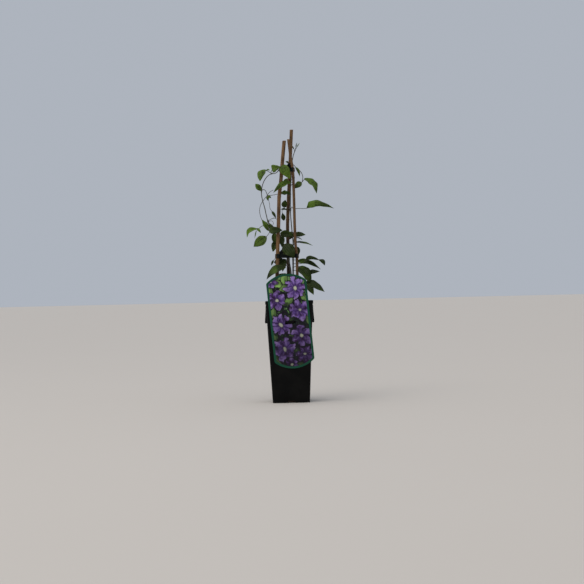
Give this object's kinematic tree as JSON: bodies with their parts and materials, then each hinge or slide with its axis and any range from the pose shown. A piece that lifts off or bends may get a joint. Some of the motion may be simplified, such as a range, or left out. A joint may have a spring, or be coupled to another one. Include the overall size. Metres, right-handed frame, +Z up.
{
  "type": "potted climbing clematis",
  "caption": "Young climbing plant in a tall square pot: leafy stems wind up clipped bamboo canes, with a picture label hung on the front.",
  "frame": {"origin": "middle of the pot's underside, on the ground", "axes": "+Z up along the canes, -Y out of the side that the label hangs on, +X to the right seen from that side"},
  "size_m": [0.1926, 0.1119, 0.598],
  "materials": {
    "pot_plastic": "black moulded plastic, satin",
    "soil": "loose potting compost, matte",
    "label_sheet": "printed plastic sheet, semi-gloss",
    "bamboo": "bare bamboo, satin",
    "clip_plastic": "black moulded plastic, satin",
    "leaf": "living leaf, semi-matte"
  },
  "bodies": {
    "root": {"pot": "pot_plastic", "soil": "soil", "label": "label_sheet", "cane_left": "bamboo", "cane_right": "bamboo", "cane_back": "bamboo", "clip_lower": "clip_plastic", "clip_upper": "clip_plastic", "stem_main": "leaf", "stem_left": "leaf", "stem_lower_left": "leaf", "stem_right": "leaf"}
  },
  "joints": []
}
